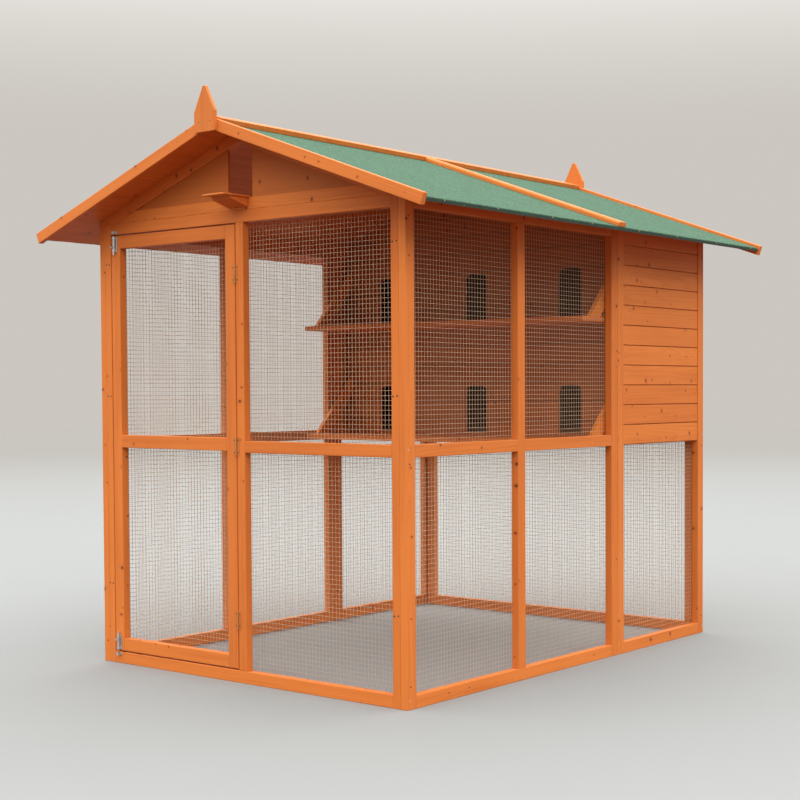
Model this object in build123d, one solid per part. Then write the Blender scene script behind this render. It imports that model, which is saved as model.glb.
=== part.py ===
"""Wooden dovecote: a mesh-walled flight run with a raised nest box under one felted roof.

Millimetres, +Z up, the gable with the door towards -Y. The origin lies at floor level under the
middle of the whole outline. Every sub-part is written to parts/NAME.step.
"""
from build123d import *
import math
import os

# Walls
wall_width = 1532.0
wall_length = 1950.0
wall_height = 1684.0
end_panel_drop = 10.5
frame_depth = 30.0
run_length = 1271.0
panel_gap = 1.0
side_stile = 44.0
front_stile = 33.0
rear_stile = 44.0
door_post = 38.0
run_stile_place = 612.0
bottom_rail = 44.0
top_rail = 53.0
mid_rail = 42.0
mid_rail_top = 862.0

# Roof
roof_pitch = 19.5
side_overhang = 188.0
front_overhang = 145.0
rear_overhang = 155.0
roof_board = 12.0
felt = 3.0
felt_lip = 10.0
roof_joint = 2.0
roof_joint_shift = 27.0
mitre_gap = 0.4
barge_thickness = 20.0
barge_width = 40.0
barge_rise = 12.0
barge_reach = 6.0
ridge_batten_width = 38.0
ridge_batten_thickness = 18.0
joint_batten_width = 50.0
joint_batten_thickness = 18.0
batten_chamfer = 5.0
batten_clearance = 0.3

# Finials
finial_thickness = 12.0
finial_width = 102.0
finial_tip_width = 12.0
finial_drop = 28.0
finial_height = 157.0
finial_point = 88.0

# Gables
gable_rail = 41.0
gable_panel = 10.0
gable_panel_recess = 8.0
flight_width = 122.0
landing_width = 109.0
landing_reach = 122.0
landing_thickness = 6.0
bracket_width = 96.0
bracket_reach = 84.0
bracket_height = 33.0
bracket_nose = 10.0

# Nest box
wall_board = 12.0
wall_board_recess = 4.0
nest_front_setback = 89.0
nest_front_thickness = 15.0
nest_front_lap = 14.0
nest_panel_joint = 0.4
hole_width = 114.0
hole_height = 196.0
hole_corner = 24.0
hole_sill_drop = 1.0
hole_row_pitch = 474.0
hole_column_pitch = 481.0
hole_rows = 2
hole_columns = 3
floor_thickness = 12.0
floor_below_sill = 12.0
shelf_depth = 282.0
shelf_thickness = 20.0
shelf_below_sill = 15.0
shelf_end_clearance = 3.0
brace_foot = 57.0
brace_width = 68.0
brace_thickness = 20.0
brace_slope = 48.0

# Welded wire mesh: the solid sheets hold one wire in three of the real mesh
mesh_cell = 16.0
mesh_count = 3
wire = 1.2
wire_layer_gap = 0.2
mesh_margin = 12.0

# Door
door_gap = 5.0
door_stile = 48.0
door_rail = 48.0
door_mid_rail_lift = 11.0

# Hinges
hinge_height = 65.0
hinge_leaf = 1.5
hinge_leaf_width = 14.0
knuckle_radius = 3.5
hinge_pin_radius = 1.6
pin_clearance = 0.08
knuckle_gap = 0.4
hinge_heights = (225.0, 842.0, 1452.0)

# Barrel bolts
bolt_inset = 22.0
bolt_plate_width = 24.0
bolt_plate_length = 55.0
bolt_plate = 1.5
bolt_edge = 4.0
rod_radius = 4.0
rod_lift = 7.0
rod_length = 70.0
rod_proud = 3.0
guide_length = 8.0
guide_wall = 1.8
guide_clearance = 0.3
knob_radius = 3.5
knob_reach = 15.0
knob_place = 16.5
keeper_length = 10.0
keeper_offset = 3.0
keeper_clearance = 1.2
keeper_wall = 1.8
keeper_corner = 1.5

# Places that follow from the sizes above
pitch_sin = math.sin(math.radians(roof_pitch))
pitch_cos = math.cos(math.radians(roof_pitch))
pitch_tan = math.tan(math.radians(roof_pitch))
half_width = wall_width / 2
inner_half = half_width - frame_depth
total_length = 2 * finial_thickness + front_overhang + wall_length + rear_overhang
front_y = -total_length / 2 + finial_thickness + front_overhang
rear_y = front_y + wall_length
front_inner_y = front_y + frame_depth
rear_inner_y = rear_y - frame_depth
run_end_y = front_y + run_length
nest_start_y = run_end_y + panel_gap
ridge_under = wall_height + half_width * pitch_tan
mid_rail_bottom = mid_rail_top - mid_rail
door_mid_rail_top = mid_rail_top + door_mid_rail_lift
hole_sill = mid_rail_top - hole_sill_drop
opening_top = wall_height - top_rail
end_height = wall_height - end_panel_drop
gable_sill = end_height + gable_rail
felt_top = roof_board + felt
eave_run = (half_width + side_overhang) / pitch_cos - felt_top * pitch_tan - felt
roof_start_y = front_y - front_overhang + barge_thickness
roof_end_y = rear_y + rear_overhang - barge_thickness
roof_joint_y = front_y + wall_length / 2 + roof_joint_shift
board_back = frame_depth - wall_board_recess - wall_board
nest_front_y = run_end_y + nest_front_setback
nest_back_of_front = nest_front_y + nest_front_thickness
shelf_front_y = nest_front_y - shelf_depth
mesh_stack = 2 * wire + wire_layer_gap
door_left = -(inner_half - front_stile) + door_gap
door_right = -door_post / 2 - door_gap
door_bottom = bottom_rail + door_gap
door_top = opening_top - door_gap
hinge_x = door_right + door_gap / 2
hinge_y = front_y - knuckle_radius


def slab(x0, x1, y0, y1, z0, z1):
    """A plain timber or plate between two corners."""
    size = Box(abs(x1 - x0), abs(y1 - y0), abs(z1 - z0))
    return Pos((x0 + x1) / 2, (y0 + y1) / 2, (z0 + z1) / 2) * size


def prism_y(outline, y0, y1):
    """An outline in X and Z, drawn out along Y."""
    face = make_face(Polyline(*[(x, y0, z) for x, z in outline], close=True))
    return extrude(face, amount=y1 - y0, dir=(0, 1, 0))


def prism_x(outline, x0, x1):
    """An outline in Y and Z, drawn out along X."""
    face = make_face(Polyline(*[(x0, y, z) for y, z in outline], close=True))
    return extrude(face, amount=x1 - x0, dir=(1, 0, 0))


def roof_under(x):
    """Height of the roof boards' underside at a distance x from the middle."""
    return wall_height + (half_width - abs(x)) * pitch_tan


def slope_point(side, run, rise):
    """A point on one roof slope: run down from the ridge, rise square to the boards."""
    x = run * pitch_cos + rise * pitch_sin
    z = ridge_under - run * pitch_sin + rise * pitch_cos
    return (side * x, z)


def ridge_run(rise):
    """Where a layer at this rise meets the vertical joint under the ridge."""
    return (mitre_gap / 2 - rise * pitch_sin) / pitch_cos


def slope_prism(side, corners, y0, y1):
    """An outline of run and rise on one slope, drawn out along Y."""
    return prism_y([slope_point(side, run, rise) for run, rise in corners], y0, y1)


def bevelled_post(side, outer, inner, y0, y1, z0):
    """A side wall timber whose top is planed to the roof's slope."""
    outline = [
        (side * outer, z0),
        (side * inner, z0),
        (side * inner, roof_under(inner)),
        (side * outer, roof_under(outer)),
    ]
    return prism_y(outline, y0, y1)


def wire_places(start, end):
    """Middles of the solid wires between two edges, evenly about the middle."""
    pitch = mesh_cell * mesh_count
    count = max(1, int((end - start - wire) // pitch))
    first = (start + end - count * pitch) / 2
    return [first + pitch * number for number in range(count + 1)]


def wire_sheet(start, end, low, high, bar):
    """Upright wires against the frame and level wires over them; bar places each one."""
    half = wire / 2
    over = wire + wire_layer_gap
    uprights = [bar(a - half, a + half, 0, wire, low, high) for a in wire_places(start, end)]
    levels = [bar(start, end, over, over + wire, z - half, z + half) for z in wire_places(low, high)]
    return uprights + levels


def side_bar(side):
    """Wires on the inner face of a side wall: along Y, stacked towards the middle."""
    def bar(a0, a1, w0, w1, z0, z1):
        return slab(side * (inner_half - w0), side * (inner_half - w1), a0, a1, z0, z1)
    return bar


def cross_bar(face_y, inward):
    """Wires on a face across the building: along X, stacked inward."""
    def bar(a0, a1, w0, w1, z0, z1):
        return slab(a0, a1, face_y + inward * w0, face_y + inward * w1, z0, z1)
    return bar


def side_stiles(side):
    """Full-height end posts of the run and nest panels, and the run's middle post."""
    def post(y0):
        return bevelled_post(side, half_width, inner_half, y0, y0 + side_stile, 0)
    middle = slab(side * half_width, side * inner_half, front_y + run_stile_place,
                  front_y + run_stile_place + side_stile, bottom_rail, opening_top)
    return [
        post(front_y),
        middle,
        post(run_end_y - side_stile),
        post(nest_start_y),
        post(rear_y - side_stile),
    ]


def side_rails(side):
    """Top, middle and bottom rails of the run, and those round and behind the nest boards."""
    def rail(outer, y0, y1, z0, z1):
        return slab(side * outer, side * inner_half, y0, y1, z0, z1)
    run_start = front_y + side_stile
    run_end = run_end_y - side_stile
    nest_start = nest_start_y + side_stile
    nest_end = rear_y - side_stile
    stile_y = front_y + run_stile_place
    board_face = inner_half + board_back
    rails = [
        rail(half_width, run_start, run_end, 0, bottom_rail),
        rail(half_width, run_start, stile_y, mid_rail_bottom, mid_rail_top),
        rail(half_width, stile_y + side_stile, run_end, mid_rail_bottom, mid_rail_top),
        bevelled_post(side, half_width, inner_half, run_start, run_end, opening_top),
        rail(half_width, nest_start, nest_end, 0, bottom_rail),
        bevelled_post(side, board_face, inner_half, nest_start, nest_end, opening_top),
    ]
    for row in range(hole_rows):
        low = mid_rail_bottom + row * hole_row_pitch
        rails.append(rail(board_face, nest_start, nest_end, low, low + mid_rail))
    return rails


def side_nest_wall(side):
    """Boarded upper half of the nest panel, set between its posts."""
    outer = half_width - wall_board_recess
    return [bevelled_post(side, outer, outer - wall_board, nest_start_y + side_stile,
                          rear_y - side_stile, mid_rail_bottom)]


def side_run_mesh(side):
    """Wire sheet behind the run panel."""
    start = front_y + side_stile - mesh_margin
    end = run_end_y - side_stile + mesh_margin
    return wire_sheet(start, end, bottom_rail - mesh_margin, opening_top + mesh_margin, side_bar(side))


def side_nest_mesh(side):
    """Wire sheet below the nest box."""
    start = nest_start_y + side_stile - mesh_margin
    end = rear_y - side_stile + mesh_margin
    high = mid_rail_bottom + mesh_margin
    return wire_sheet(start, end, bottom_rail - mesh_margin, high, side_bar(side))


def front_stiles():
    """Corner stiles of the front panel and the post that carries the door."""
    def stile(x0, x1, z0, z1):
        return slab(x0, x1, front_y, front_inner_y, z0, z1)
    return [
        stile(-inner_half, -inner_half + front_stile, 0, end_height),
        stile(-door_post / 2, door_post / 2, bottom_rail, opening_top),
        stile(inner_half - front_stile, inner_half, 0, end_height),
    ]


def front_rails():
    """Head and sill across the front, and the fixed bay's middle rail."""
    reach = inner_half - front_stile
    return [
        slab(-reach, reach, front_y, front_inner_y, 0, bottom_rail),
        slab(-reach, reach, front_y, front_inner_y, opening_top, end_height),
        slab(door_post / 2, reach, front_y, front_inner_y, mid_rail_bottom, mid_rail_top),
    ]


def front_mesh():
    """Wire sheet behind the fixed front bay."""
    start = door_post / 2 - mesh_margin
    end = inner_half - front_stile + mesh_margin
    low = bottom_rail - mesh_margin
    return wire_sheet(start, end, low, opening_top + mesh_margin, cross_bar(front_inner_y, 1))


def rear_stiles():
    """Corner stiles of the rear panel."""
    return [slab(side * inner_half, side * (inner_half - rear_stile), rear_inner_y, rear_y,
                 0, end_height) for side in (-1, 1)]


def rear_rails():
    """Sill of the rear panel, and the rails behind its boards."""
    reach = inner_half - rear_stile
    board_face = rear_y - wall_board_recess - wall_board
    rails = [
        slab(-reach, reach, rear_inner_y, rear_y, 0, bottom_rail),
        slab(-reach, reach, rear_inner_y, board_face, opening_top, end_height),
    ]
    for row in range(hole_rows):
        low = mid_rail_bottom + row * hole_row_pitch
        rails.append(slab(-reach, reach, rear_inner_y, board_face, low, low + mid_rail))
    return rails


def rear_nest_wall():
    """Boarded upper half of the rear panel."""
    reach = inner_half - rear_stile
    outer = rear_y - wall_board_recess
    return [slab(-reach, reach, outer - wall_board, outer, mid_rail_bottom, end_height)]


def rear_mesh():
    """Wire sheet across the rear, below the nest box."""
    reach = inner_half - rear_stile + mesh_margin
    high = mid_rail_bottom + mesh_margin
    return wire_sheet(-reach, reach, bottom_rail - mesh_margin, high, cross_bar(rear_inner_y, -1))


def gable_inner(x):
    """Height of the sloping gable rails' lower edge."""
    return roof_under(x) - gable_rail / pitch_cos


def gable_inner_reach(z):
    """Half width between the sloping gable rails at a height."""
    return half_width - gable_rail / pitch_sin - (z - wall_height) / pitch_tan


def gable_frame(y0):
    """A level rail between two sloping rails that meet under the ridge."""
    y1 = y0 + frame_depth
    joint = mitre_gap / 2
    level = [
        (-gable_inner_reach(end_height) + mitre_gap, end_height),
        (gable_inner_reach(end_height) - mitre_gap, end_height),
        (gable_inner_reach(gable_sill) - mitre_gap, gable_sill),
        (-gable_inner_reach(gable_sill) + mitre_gap, gable_sill),
    ]
    pieces = [prism_y(level, y0, y1)]
    for side in (-1, 1):
        sloping = [
            (side * inner_half, end_height),
            (side * inner_half, roof_under(inner_half)),
            (side * joint, roof_under(joint)),
            (side * joint, gable_inner(joint)),
            (side * gable_inner_reach(end_height), end_height),
        ]
        pieces.append(prism_y(sloping, y0, y1))
    return pieces


def gable_frames():
    """Front and rear gable frames, on the heads of the end panels."""
    return gable_frame(front_y) + gable_frame(rear_inner_y)


def front_gable_panels():
    """Infill on either side of the flight opening, which reaches up to the sloping rails."""
    jamb = flight_width / 2
    y0 = front_y + gable_panel_recess
    panels = []
    for side in (-1, 1):
        outline = [
            (side * jamb, gable_sill),
            (side * gable_inner_reach(gable_sill), gable_sill),
            (side * jamb, gable_inner(jamb)),
        ]
        panels.append(prism_y(outline, y0, y0 + gable_panel))
    return panels


def rear_gable_panel():
    """Plain infill of the rear gable."""
    reach = gable_inner_reach(gable_sill)
    y1 = rear_y - gable_panel_recess
    outline = [(-reach, gable_sill), (reach, gable_sill), (0, gable_inner(0))]
    return [prism_y(outline, y1 - gable_panel, y1)]


def landing_board():
    """Thin board on the gable's level rail, reaching out in front of the flight opening."""
    return [slab(-landing_width / 2, landing_width / 2, front_y - landing_reach, front_inner_y,
                 gable_sill, gable_sill + landing_thickness)]


def landing_bracket():
    """Tapered block that carries the landing board."""
    outline = [
        (front_y, gable_sill),
        (front_y - bracket_reach, gable_sill),
        (front_y - bracket_reach, gable_sill - bracket_nose),
        (front_y, gable_sill - bracket_height),
    ]
    return [prism_x(outline, -bracket_width / 2, bracket_width / 2)]


def nest_hole(column, row):
    """Cutter for one nest hole, rounded at its upper corners."""
    x = (column - (hole_columns - 1) / 2) * hole_column_pitch
    z = hole_sill + row * hole_row_pitch + hole_height / 2
    centre = Pos(x, nest_front_y + nest_front_thickness / 2, z)
    cutter = centre * Box(hole_width, 2 * nest_front_thickness, hole_height)
    top_edges = cutter.edges().filter_by(Axis.Y).group_by(Axis.Z)[-1]
    return fillet(top_edges, hole_corner)


def nest_front_wall():
    """Front of the nest box, in a lower and an upper panel, each with a row of holes."""
    joint = hole_sill + hole_row_pitch - floor_below_sill - floor_thickness
    lower = slab(-inner_half, inner_half, nest_front_y, nest_back_of_front,
                 mid_rail_bottom + nest_front_lap, joint - nest_panel_joint)
    upper = prism_y([
        (-inner_half, joint),
        (inner_half, joint),
        (inner_half, roof_under(inner_half)),
        (0, roof_under(0)),
        (-inner_half, roof_under(inner_half)),
    ], nest_front_y, nest_back_of_front)
    for column in range(hole_columns):
        lower = lower - nest_hole(column, 0)
        upper = upper - nest_hole(column, 1)
    return [lower, upper]


def nest_floors():
    """Floor of each row of nests, between the side rails."""
    floors = []
    for row in range(hole_rows):
        top = hole_sill + row * hole_row_pitch - floor_below_sill
        floors.append(slab(-inner_half, inner_half, nest_back_of_front, rear_inner_y,
                           top - floor_thickness, top))
    return floors


def shelf_top(row):
    """Upper face of the shelf in front of a row of holes."""
    return hole_sill + row * hole_row_pitch - shelf_below_sill


def shelf_reach():
    """Half length of the shelves, clear of the wire on the side walls."""
    return inner_half - mesh_stack - shelf_end_clearance


def nest_shelves():
    """Deep landing shelf in front of each row of holes."""
    return [slab(-shelf_reach(), shelf_reach(), shelf_front_y, nest_front_y,
                 shelf_top(row) - shelf_thickness, shelf_top(row)) for row in range(hole_rows)]


def shelf_braces():
    """Sloping braces from the shelves' ends up to the nest wall."""
    braces = []
    rise = math.tan(math.radians(brace_slope))
    foot = shelf_front_y + brace_foot
    for row in range(hole_rows):
        base = shelf_top(row)
        outline = [
            (foot, base),
            (foot + brace_width, base),
            (nest_front_y, base + (nest_front_y - foot - brace_width) * rise),
            (nest_front_y, base + (nest_front_y - foot) * rise),
        ]
        for side in (-1, 1):
            ends = sorted((side * shelf_reach(), side * (shelf_reach() - brace_thickness)))
            braces.append(prism_x(outline, *ends))
    return braces


def roof_halves():
    """Front and rear spans of the roof, which meet under the joint batten."""
    half_joint = roof_joint / 2
    return [(roof_start_y, roof_joint_y - half_joint), (roof_joint_y + half_joint, roof_end_y)]


def roof_boards(side):
    """Two boarded panels on one slope."""
    outline = [
        (ridge_run(0), 0),
        (eave_run, 0),
        (eave_run, roof_board),
        (ridge_run(roof_board), roof_board),
    ]
    return [slope_prism(side, outline, y0, y1) for y0, y1 in roof_halves()]


def roof_felt(side):
    """Felt on both panels of one slope, turned down over the eave."""
    outline = [
        (ridge_run(roof_board), roof_board),
        (eave_run, roof_board),
        (eave_run, felt_top - felt_lip),
        (eave_run + felt, felt_top - felt_lip),
        (eave_run + felt, felt_top),
        (ridge_run(felt_top), felt_top),
    ]
    return [slope_prism(side, outline, y0, y1) for y0, y1 in roof_halves()]


def roof_battens():
    """Battens along the ridge and down over the joint between the roof panels."""
    ridge_top = felt_top + ridge_batten_thickness
    joint_top = felt_top + joint_batten_thickness
    start = ridge_batten_width + batten_clearance
    battens = []
    for side in (-1, 1):
        ridge = [
            (ridge_run(felt_top), felt_top),
            (ridge_batten_width, felt_top),
            (ridge_batten_width, ridge_top),
            (ridge_run(ridge_top), ridge_top),
        ]
        battens.append(slope_prism(side, ridge, roof_start_y, roof_end_y))
        cover = [
            (start, felt_top),
            (eave_run + felt, felt_top),
            (eave_run + felt, joint_top),
            (start, joint_top),
        ]
        half = joint_batten_width / 2
        board = slope_prism(side, cover, roof_joint_y - half, roof_joint_y + half)
        long_edges = board.edges().filter_by(lambda edge: edge.length > eave_run / 2)
        upper_edges = long_edges.sort_by(Axis.Z)[-2:]
        battens.append(chamfer(upper_edges, batten_chamfer))
    return battens


def barge_boards():
    """Sloping boards that close the ends of the roof, mitred at the ridge."""
    top = felt_top + barge_rise
    low = top - barge_width
    end = eave_run + felt + barge_reach
    outline = [(ridge_run(low), low), (end, low), (end, top), (ridge_run(top), top)]
    boards = []
    for side in (-1, 1):
        boards.append(slope_prism(side, outline, roof_start_y - barge_thickness, roof_start_y))
        boards.append(slope_prism(side, outline, roof_end_y, roof_end_y + barge_thickness))
    return boards


def finial(y0):
    """Flat pointed board over the mitre of the barge boards."""
    half = finial_width / 2
    tip = finial_tip_width / 2
    foot = ridge_under - finial_drop
    top = foot + finial_height
    shoulder = top - finial_point
    outline = [
        (-half, foot),
        (half, foot),
        (half, shoulder),
        (tip, top),
        (-tip, top),
        (-half, shoulder),
    ]
    return [prism_y(outline, y0, y0 + finial_thickness)]


def door_stiles():
    """Upright edges of the door."""
    return [slab(x, x + door_stile, front_y, front_inner_y, door_bottom, door_top)
            for x in (door_left, door_right - door_stile)]


def door_rails():
    """Head, middle and sill of the door, between its stiles."""
    x0 = door_left + door_stile
    x1 = door_right - door_stile
    return [slab(x0, x1, front_y, front_inner_y, top - door_rail, top)
            for top in (door_bottom + door_rail, door_mid_rail_top, door_top)]


def door_mesh():
    """Wire sheet behind the door."""
    start = door_left + door_stile - mesh_margin
    end = door_right - door_stile + mesh_margin
    low = door_bottom + door_rail - mesh_margin
    high = door_top - door_rail + mesh_margin
    return wire_sheet(start, end, low, high, cross_bar(front_inner_y, 1))


def knuckle(z0, z1, radius):
    """A round length of hinge barrel."""
    return Pos(hinge_x, hinge_y, (z0 + z1) / 2) * Cylinder(radius, z1 - z0)


def hinge_leaf_plate(side, z0, z1, start):
    """Part of a leaf screwed to the face of the door or the post."""
    return slab(hinge_x + side * start, hinge_x + side * hinge_leaf_width,
                front_y - hinge_leaf, front_y, z0, z1)


def hinge_levels(middle):
    """Bottom of a hinge, its two knuckle joints and its top."""
    third = hinge_height / 3
    low = middle - hinge_height / 2
    return low, low + third, low + 2 * third, low + hinge_height


def door_hinge_leaves():
    """Leaves on the door, each with the hinge's middle knuckle."""
    leaves = []
    clear = knuckle_radius + knuckle_gap
    for middle in hinge_heights:
        low, first, second, high = hinge_levels(middle)
        z0 = first + knuckle_gap / 2
        z1 = second - knuckle_gap / 2
        leaf = hinge_leaf_plate(-1, low, high, clear)
        leaf = leaf + hinge_leaf_plate(-1, z0, z1, 0) + knuckle(z0, z1, knuckle_radius)
        leaves.append(leaf - knuckle(z0, z1, hinge_pin_radius + pin_clearance))
    return leaves


def post_hinge_leaves():
    """Leaves on the door post, each with the end knuckles and the pin."""
    leaves = []
    clear = knuckle_radius + knuckle_gap
    for middle in hinge_heights:
        low, first, second, high = hinge_levels(middle)
        leaf = hinge_leaf_plate(1, low, high, clear)
        for z0, z1 in ((low, first - knuckle_gap / 2), (second + knuckle_gap / 2, high)):
            leaf = leaf + hinge_leaf_plate(1, z0, z1, 0) + knuckle(z0, z1, knuckle_radius)
        leaves.append(leaf + knuckle(low, high, hinge_pin_radius))
    return leaves


def bolt_middle_x():
    """Line of both bolts on the door's closing stile."""
    return door_left + bolt_inset


def rod_axis_y():
    """Distance of the bolts' rods in front of the door."""
    return front_y - rod_lift


def loop(z0, z1, bore, wall):
    """Round-topped loop for a rod, standing on the face behind it."""
    x = bolt_middle_x()
    radius = bore + wall
    middle = (z0 + z1) / 2
    body = Pos(x, rod_axis_y(), middle) * Cylinder(radius, z1 - z0)
    foot = slab(x - radius, x + radius, rod_axis_y(), front_y, z0, z1)
    return body + foot - Pos(x, rod_axis_y(), middle) * Cylinder(bore, z1 - z0)


def bolt_case(edge, way):
    """Plate and two guides of a bolt beside the door's edge; way is +1 for upward throw."""
    x = bolt_middle_x()
    near = edge - way * bolt_edge
    far = near - way * bolt_plate_length
    case = slab(x - bolt_plate_width / 2, x + bolt_plate_width / 2,
                front_y - bolt_plate, front_y, *sorted((near, far)))
    bore = rod_radius + guide_clearance
    for end in (near, far + way * guide_length):
        case = case + loop(*sorted((end, end - way * guide_length)), bore, guide_wall)
    return case


def bolt_cases():
    """Cases of the upper and lower bolts."""
    return [bolt_case(door_top, 1), bolt_case(door_bottom, -1)]


def bolt_rod(edge, way):
    """Round rod with its knob, drawn back just clear of its keeper."""
    near = edge - way * (bolt_edge - rod_proud)
    far = near - way * rod_length
    x = bolt_middle_x()
    rod = Pos(x, rod_axis_y(), (near + far) / 2) * Cylinder(rod_radius, rod_length)
    knob_z = edge - way * (bolt_edge + bolt_plate_length - knob_place)
    stem = Pos(x, rod_axis_y() - knob_reach / 2, knob_z) * Rot(90, 0, 0) * Cylinder(knob_radius, knob_reach)
    return [rod + stem]


def bolt_keeper(edge, way):
    """Squared staple on the frame that takes a rod's end."""
    near = edge + way * keeper_offset
    ends = sorted((near, near + way * keeper_length))
    x = bolt_middle_x()
    half = rod_radius + keeper_clearance
    reach = half + keeper_wall
    front = rod_axis_y() - reach
    body = slab(x - reach, x + reach, front, front_y, *ends)
    outer_edges = body.edges().filter_by(Axis.Z).group_by(Axis.Y)[0]
    body = fillet(outer_edges, keeper_corner)
    body = body - slab(x - half, x + half, front + keeper_wall, front_y - bolt_plate, *ends)
    return body + slab(x - bolt_plate_width / 2, x + bolt_plate_width / 2, front_y - bolt_plate, front_y, *ends)


def bolt_keepers():
    """Keepers on the head and sill of the doorway."""
    return [bolt_keeper(opening_top, 1), bolt_keeper(bottom_rail, -1)]


def export_node(name, solids):
    """Write one sub-part; a node of several like pieces is a compound of solids."""
    shape = solids[0] if len(solids) == 1 else Compound(children=list(solids))
    export_step(shape, os.path.join("parts", name + ".step"))


nodes = {
    "front_stiles": front_stiles(),
    "front_rails": front_rails(),
    "front_mesh": front_mesh(),
    "rear_stiles": rear_stiles(),
    "rear_rails": rear_rails(),
    "rear_nest_wall": rear_nest_wall(),
    "rear_mesh": rear_mesh(),
    "gable_frames": gable_frames(),
    "front_gable_panels": front_gable_panels(),
    "rear_gable_panel": rear_gable_panel(),
    "landing_board": landing_board(),
    "landing_bracket": landing_bracket(),
    "nest_front_wall": nest_front_wall(),
    "nest_floors": nest_floors(),
    "nest_shelves": nest_shelves(),
    "shelf_braces": shelf_braces(),
    "roof_battens": roof_battens(),
    "barge_boards": barge_boards(),
    "front_finial": finial(roof_start_y - barge_thickness - finial_thickness),
    "rear_finial": finial(roof_end_y + barge_thickness),
    "door_stiles": door_stiles(),
    "door_rails": door_rails(),
    "door_mesh": door_mesh(),
    "door_hinge_leaves": door_hinge_leaves(),
    "post_hinge_leaves": post_hinge_leaves(),
    "bolt_cases": bolt_cases(),
    "top_bolt": bolt_rod(door_top, 1),
    "bottom_bolt": bolt_rod(door_bottom, -1),
    "bolt_keepers": bolt_keepers(),
}
for word, side in (("left", -1), ("right", 1)):
    nodes[word + "_stiles"] = side_stiles(side)
    nodes[word + "_rails"] = side_rails(side)
    nodes[word + "_nest_wall"] = side_nest_wall(side)
    nodes[word + "_run_mesh"] = side_run_mesh(side)
    nodes[word + "_nest_mesh"] = side_nest_mesh(side)
    nodes[word + "_roof_boards"] = roof_boards(side)
    nodes[word + "_roof_felt"] = roof_felt(side)

os.makedirs("parts", exist_ok=True)
for name, solids in nodes.items():
    export_node(name, solids)
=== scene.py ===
"""Dresses the wooden dovecote: stained timber, welded mesh, lapped boards, mineral felt and ironmongery.

Metres, +Z up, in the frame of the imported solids. The door gable faces -Y.
"""
import math
import random
from functools import partial
from itertools import product

import bmesh
import bpy
from bpy.props import FloatProperty, FloatVectorProperty, IntProperty, PointerProperty
from mathutils import Matrix, Vector, noise


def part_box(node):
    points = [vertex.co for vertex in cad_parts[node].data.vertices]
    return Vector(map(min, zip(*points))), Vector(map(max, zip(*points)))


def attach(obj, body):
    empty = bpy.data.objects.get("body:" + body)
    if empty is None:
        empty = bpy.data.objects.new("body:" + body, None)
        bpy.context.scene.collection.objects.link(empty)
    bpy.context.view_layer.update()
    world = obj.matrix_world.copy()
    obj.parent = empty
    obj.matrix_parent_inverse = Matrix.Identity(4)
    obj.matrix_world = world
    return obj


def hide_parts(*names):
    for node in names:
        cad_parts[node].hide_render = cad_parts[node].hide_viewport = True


bl_info = {
    "name": "Wooden dovecote",
    "version": (1, 0, 0),
    "blender": (4, 5, 0),
    "location": "3D View > Sidebar > Dovecote",
    "description": "Builds the visible boards, wire, felt, fixings and finishes of a wooden dovecote",
    "category": "Object",
}

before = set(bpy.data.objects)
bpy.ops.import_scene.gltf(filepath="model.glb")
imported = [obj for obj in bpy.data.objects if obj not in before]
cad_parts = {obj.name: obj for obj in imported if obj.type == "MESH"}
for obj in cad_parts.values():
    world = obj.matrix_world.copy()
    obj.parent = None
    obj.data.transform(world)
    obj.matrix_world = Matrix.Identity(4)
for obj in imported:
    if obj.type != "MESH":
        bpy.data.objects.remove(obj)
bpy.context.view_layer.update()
MM = 0.001

ROOF_PITCH = math.radians(19.5)
SINE, COSINE, SLOPE = math.sin(ROOF_PITCH), math.cos(ROOF_PITCH), math.tan(ROOF_PITCH)
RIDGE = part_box("left_roof_boards")[1]
# Square to the slope: the thickness of the roof's boards, then heights over their underside.
ROOF_BOARD = 12.0 * MM
FELT_TOP = 15.0 * MM
BATTEN_TOP = 33.0 * MM
FRONT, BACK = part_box("left_stiles")[0].y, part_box("right_stiles")[1].y
RIGHT_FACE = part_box("right_stiles")[1].x
SIDES = ((-1, "left"), (1, "right"))

LengthProperty = partial(FloatProperty, unit="LENGTH")
AngleProperty = partial(FloatProperty, subtype="ANGLE")
ColourProperty = partial(FloatVectorProperty, subtype="COLOR", size=3, min=0, max=1)
GlowProperty = partial(FloatVectorProperty, subtype="COLOR", size=3, min=0, soft_max=4)
PlaceProperty = partial(FloatVectorProperty, subtype="TRANSLATION", size=3)


class Signal:
    """A socket of a material's nodes; values also stand in Python expressions."""

    def __init__(self, socket):
        self.socket = socket
        self.tree = socket.id_data

    def beside(self, output):
        """Another output of the same node."""
        return Signal(self.socket.node.outputs[output])

    def join(self, operation, other=None, swap=False):
        """Puts this value, and the other one, through a Math node."""
        made = self.tree.nodes.new("ShaderNodeMath")
        made.operation = operation
        pair = (other, self) if swap else (self, other)
        for place, item in zip(made.inputs, pair):
            feed(self.tree, place, item)
        return Signal(made.outputs[0])

    def __add__(self, other):
        return self.join("ADD", other)

    __radd__ = __add__

    def __sub__(self, other):
        return self.join("SUBTRACT", other)

    def __rsub__(self, other):
        return self.join("SUBTRACT", other, swap=True)

    def __mul__(self, other):
        return self.join("MULTIPLY", other)

    __rmul__ = __mul__

    def __truediv__(self, other):
        return self.join("DIVIDE", other)

    def __rtruediv__(self, other):
        return self.join("DIVIDE", other, swap=True)

    def __pow__(self, other):
        return self.join("POWER", other)

    def __gt__(self, other):
        return self.join("GREATER_THAN", other)

    def __lt__(self, other):
        return self.join("LESS_THAN", other)

    def __abs__(self):
        return self.join("ABSOLUTE")


def feed(tree, place, item):
    """Links a signal to a socket, or sets the socket to a number or a colour."""
    if isinstance(item, Signal):
        tree.links.new(item.socket, place)
    elif item is not None:
        place.default_value = (*item, 1.0) if place.type == "RGBA" else item


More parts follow.
